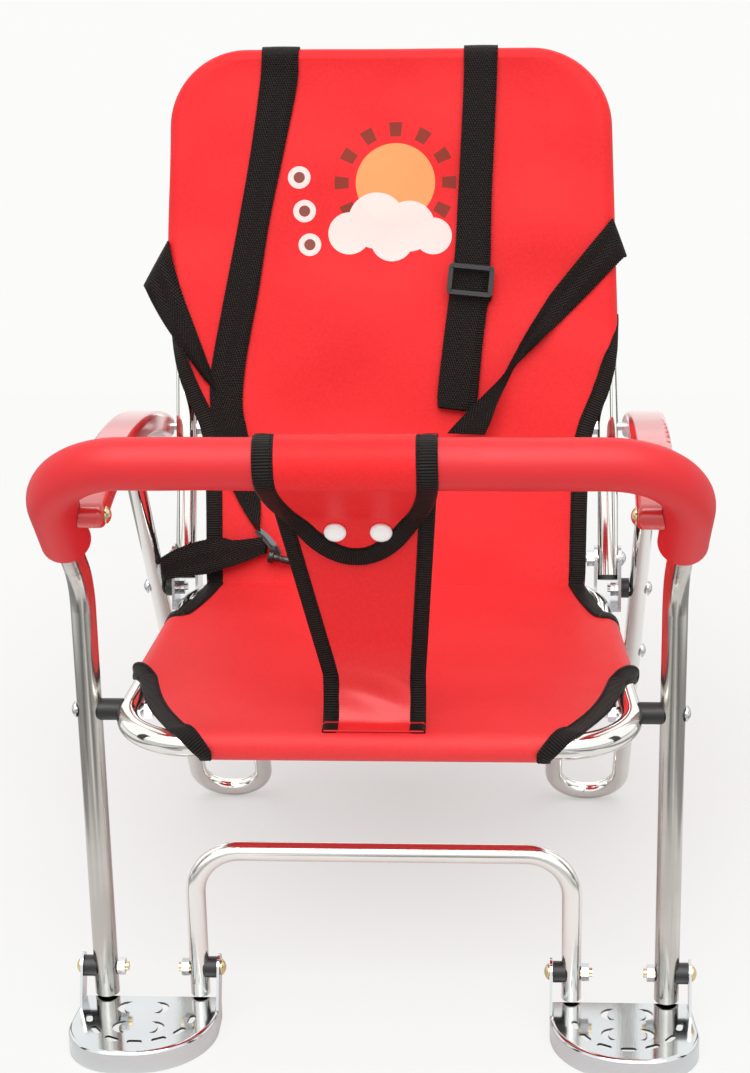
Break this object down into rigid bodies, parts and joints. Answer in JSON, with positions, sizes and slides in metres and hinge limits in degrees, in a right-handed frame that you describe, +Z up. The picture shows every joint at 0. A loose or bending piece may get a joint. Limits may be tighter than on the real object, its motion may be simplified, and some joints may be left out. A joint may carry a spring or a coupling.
{
  "type": "child bike seat",
  "caption": "Child seat for a bicycle: chrome tube frame, red sling seat and back, foam guard bar, arm pads, harness straps and folding foot plates.",
  "frame": {"origin": "on the floor under the middle of the bounding box", "axes": "+Z up, -Y to the front of the seat (the side the child faces), +X to the right as seen from the front"},
  "size_m": [0.407, 0.4668, 0.576],
  "materials": {
    "chrome_tube": "polished",
    "zinc_plate": "bright zinc",
    "zinc_steel": "bright zinc",
    "yellow_zinc": "yellow zinc plating",
    "white_plastic": "moulded",
    "red_foam": "closed-cell foam",
    "red_plastic": "satin",
    "red_cloth": "coated weave",
    "black_tape": "woven tape",
    "black_webbing": "woven webbing",
    "black_plastic": "moulded"
  },
  "bodies": {
    "frame": {"seat_ring": "chrome_tube", "guard_frame": "chrome_tube", "guard_foam": "red_foam", "back_frame": "chrome_tube", "back_plugs": "black_plastic", "left_hinge_bracket": "zinc_steel", "right_hinge_bracket": "zinc_steel", "hinge_bolts": "yellow_zinc", "hinge_nuts": "zinc_steel", "bracket_screws": "yellow_zinc", "left_rear_leg": "chrome_tube", "right_rear_leg": "chrome_tube", "rear_cross_tube": "chrome_tube", "cross_plugs": "black_plastic", "cross_bolts": "yellow_zinc", "strut_spacers": "black_plastic", "strut_bolts": "yellow_zinc", "strut_nuts": "zinc_steel", "left_arm": "red_plastic", "right_arm": "red_plastic", "arm_bolts": "yellow_zinc", "arm_nuts": "zinc_steel", "guard_screws": "yellow_zinc", "leg_bushes": "black_plastic", "leg_bolts": "yellow_zinc", "leg_nuts": "zinc_steel", "pedal_bushes": "black_plastic", "pedal_bolts": "yellow_zinc", "pedal_nuts": "zinc_steel", "seat_cover": "red_cloth", "back_cover": "red_cloth", "seat_binding": "black_tape", "back_binding": "black_tape", "crotch_strap": "red_cloth", "crotch_binding": "black_tape", "snap_caps": "white_plastic", "left_shoulder_strap": "black_webbing", "right_shoulder_strap": "black_webbing", "strap_slider": "black_plastic", "left_side_strap": "black_webbing", "right_side_strap": "black_webbing", "waist_strap": "black_webbing", "waist_buckle": "black_plastic"},
    "left_pedal": {"left_pedal": "zinc_plate"},
    "right_pedal": {"right_pedal": "zinc_plate"},
    "bridge": {"bridge_bar": "chrome_tube", "bridge_bushes": "black_plastic", "bridge_bolts": "yellow_zinc", "bridge_nuts": "zinc_steel"}
  },
  "joints": [
    {"name": "left_pedal_fold", "type": "hinge", "parent": "frame", "child": "left_pedal", "pos_m": [0, -0.13059, 0.036], "axis": [-1, 0, 0], "range_deg": [0, 90]},
    {"name": "right_pedal_fold", "type": "hinge", "parent": "frame", "child": "right_pedal", "pos_m": [0, -0.13059, 0.036], "axis": [-1, 0, 0], "range_deg": [0, 90]},
    {"name": "bridge_bar_swing", "type": "hinge", "parent": "frame", "child": "bridge", "pos_m": [0, -0.13059, 0.036], "axis": [-1, 0, 0], "range_deg": [0, 85]}
  ]
}
